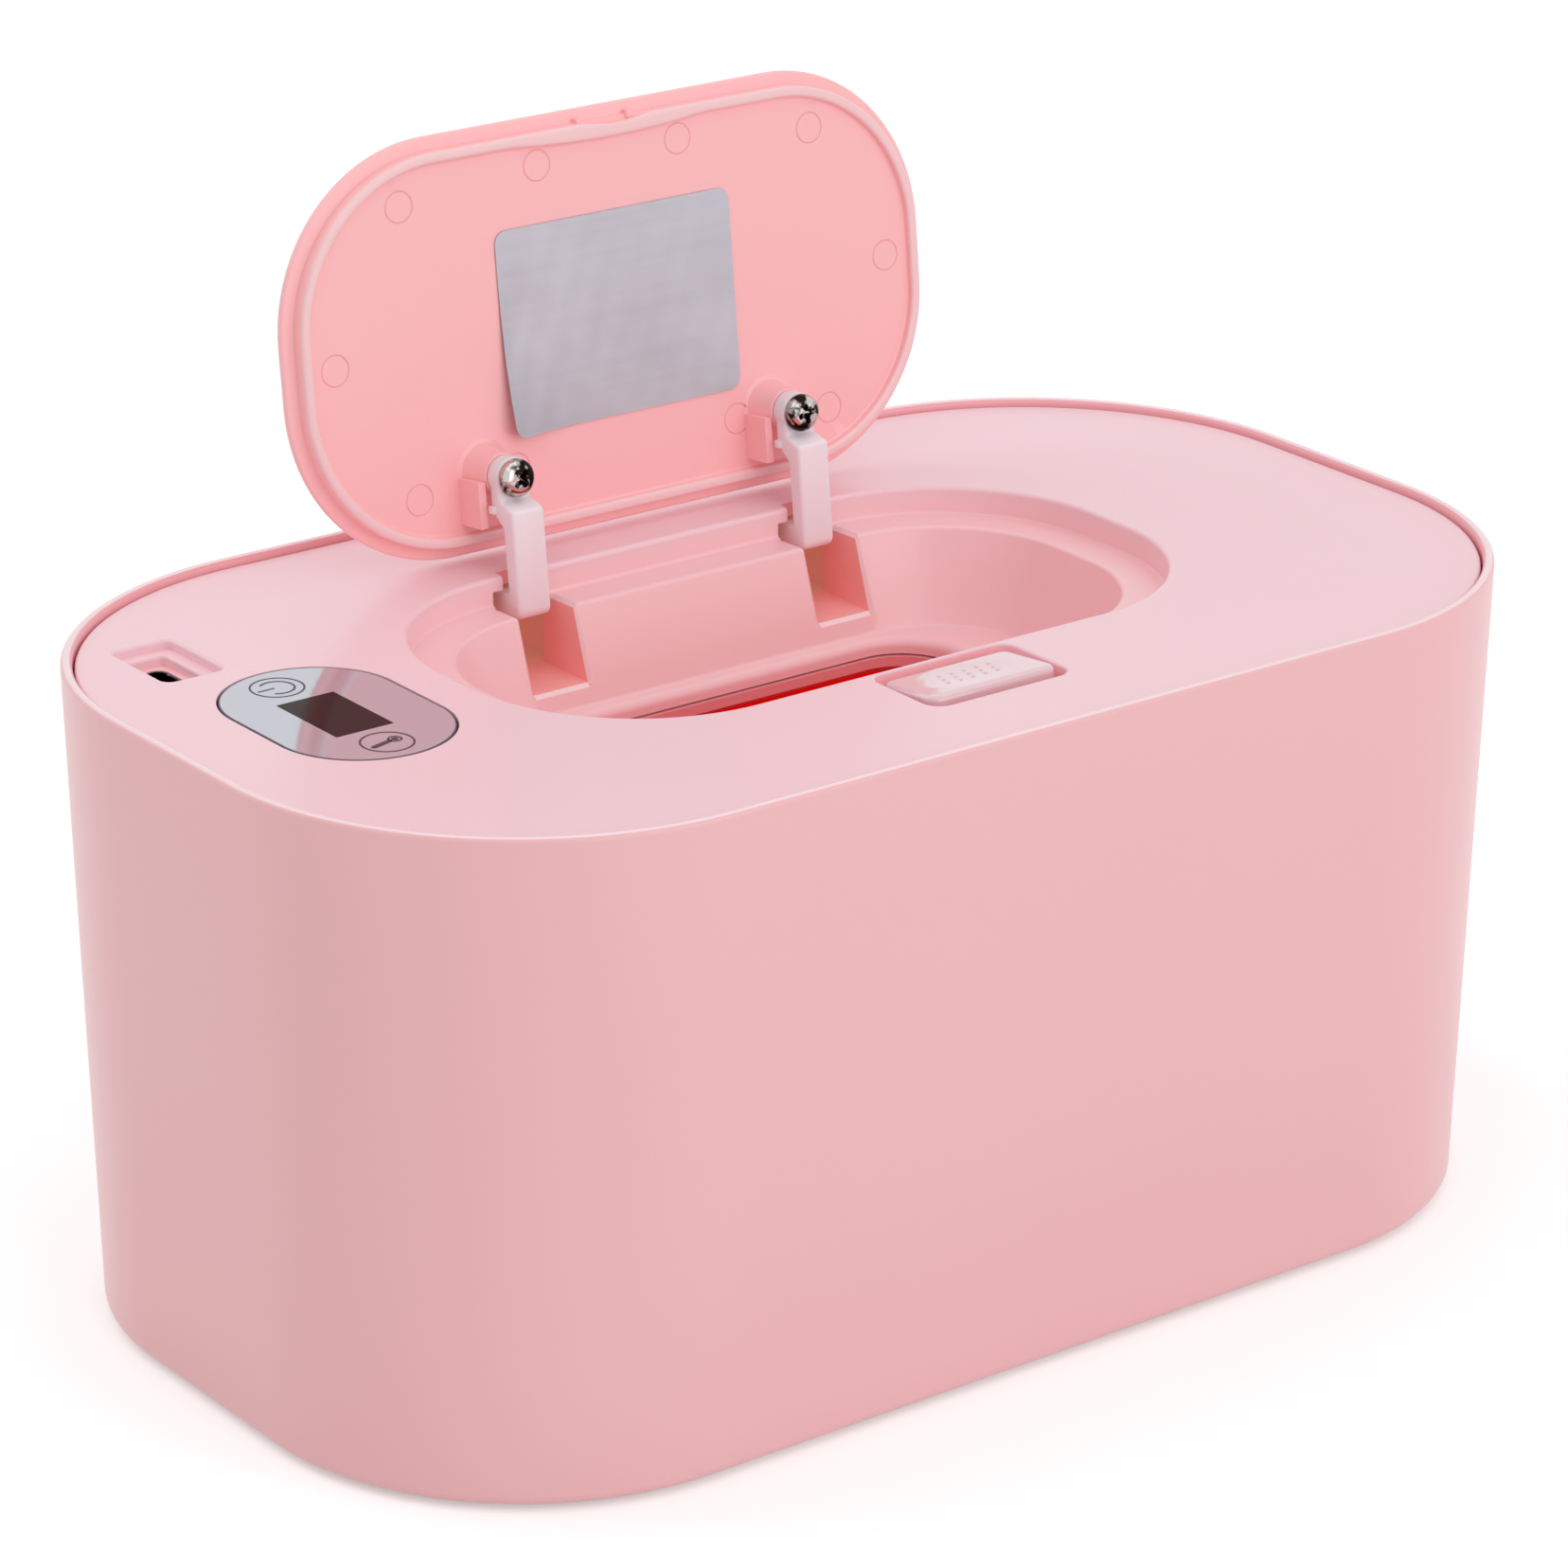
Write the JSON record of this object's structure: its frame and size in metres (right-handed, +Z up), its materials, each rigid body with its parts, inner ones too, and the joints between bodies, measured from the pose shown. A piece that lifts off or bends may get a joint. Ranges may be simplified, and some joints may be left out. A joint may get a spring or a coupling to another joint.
{
  "type": "baby wipe warmer",
  "caption": "Pink oval baby wipe warmer with a sunken dispensing basin, a pop-up lid on gooseneck arms, a rocking release button, a touch display and a rear charging socket.",
  "frame": {"origin": "middle of the underside, on the plane that the feet stand on", "axes": "+X along the case to the right, +Y towards the hinge side, +Z up; the release button is at -Y"},
  "size_m": [0.22, 0.1316, 0.168],
  "materials": {
    "pink_shell": "satin",
    "coral_inner": "satin",
    "milky_nylon": "satin",
    "dark_plastic": "matte",
    "insulation_foam": "matte",
    "seal_silicone": "satin",
    "foot_rubber": "matte",
    "heater_aluminium": "satin",
    "heater_film": "gloss",
    "silver_foil": "satin",
    "lens_film": "gloss",
    "board_green": "satin",
    "spring_steel": "satin",
    "chrome": "polished",
    "lead_sheath": "satin"
  },
  "bodies": {
    "case": {"case_tub": "pink_shell", "foot_front_left": "foot_rubber", "foot_front_right": "foot_rubber", "foot_rear_left": "foot_rubber", "foot_rear_right": "foot_rubber", "wipe_box": "coral_inner", "insulation_sleeve": "insulation_foam"},
    "cover": {"top_cover": "pink_shell", "cover_base": "pink_shell", "chamber_seal": "seal_silicone", "heat_plate": "heater_aluminium", "heater_film": "heater_film", "thermal_fuse": "heater_aluminium", "thermistor": "dark_plastic", "heater_lead_front": "lead_sheath", "heater_lead_rear": "lead_sheath", "usb_lead": "lead_sheath", "cover_screw_front_left": "chrome", "cover_screw_front_right": "chrome", "cover_screw_rear_left": "chrome", "cover_screw_rear_right": "chrome", "board_screw_front": "chrome", "board_screw_rear": "chrome", "hinge_pin_left": "spring_steel", "hinge_pin_right": "spring_steel", "hinge_spring_left": "spring_steel", "hinge_spring_right": "spring_steel", "touch_lens": "lens_film", "control_board": "board_green", "display_block": "dark_plastic", "touch_spring_power": "spring_steel", "touch_spring_heat": "spring_steel", "usb_socket": "chrome", "usb_tongue": "dark_plastic", "usb_board": "board_green", "latch_pin": "spring_steel", "latch_spring": "spring_steel"},
    "lid": {"lid_panel": "pink_shell", "foil_sheet": "silver_foil", "hinge_arm_left": "milky_nylon", "hinge_arm_right": "milky_nylon", "arm_screw_left": "chrome", "arm_screw_right": "chrome"},
    "button": {"release_button": "pink_shell"}
  },
  "joints": [
    {"name": "cover_lift", "type": "slide", "parent": "case", "child": "cover", "axis": [0, 0, 1], "range_m": [0, 0.06]},
    {"name": "lid_hinge", "type": "hinge", "parent": "cover", "child": "lid", "pos_m": [0, 0.04085, 0.0977], "axis": [1, 0, 0], "range_deg": [0, 96.33], "stiffness_Nm_per_rad": 0.01, "springref_deg": -22.92},
    {"name": "button_rocker", "type": "hinge", "parent": "cover", "child": "button", "pos_m": [0.00165, -0.036, 0.09332], "axis": [1, 0, 0], "range_deg": [0, 7], "stiffness_Nm_per_rad": 0.1, "springref_deg": -5.73, "deforming": ["latch_spring"]}
  ]
}
